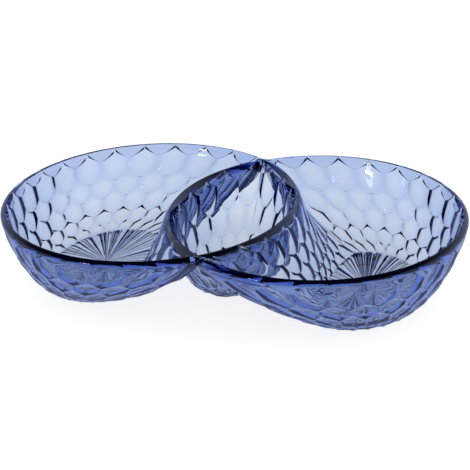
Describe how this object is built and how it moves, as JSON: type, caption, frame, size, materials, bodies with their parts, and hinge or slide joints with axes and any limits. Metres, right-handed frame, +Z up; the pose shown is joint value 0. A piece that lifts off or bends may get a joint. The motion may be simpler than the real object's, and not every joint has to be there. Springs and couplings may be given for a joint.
{
  "type": "chip and dip server",
  "caption": "Tinted clear acrylic chip and dip server: overlapping oval bowls with a pointed dip bowl between them and a honeycomb of shallow facets outside.",
  "frame": {"origin": "centre of the object on the table plane, under the middle of the dip bowl", "axes": "+X runs from the left chip bowl to the right one, +Y to the back, +Z up out of the bowls"},
  "size_m": [0.358, 0.268, 0.0615],
  "materials": {
    "tinted_acrylic": "clear navy-blue tinted moulded acrylic, polished inside, moulded facets outside"
  },
  "bodies": {
    "root": {"left_bowl": "tinted_acrylic", "right_bowl": "tinted_acrylic", "dip_bowl": "tinted_acrylic"}
  },
  "joints": []
}
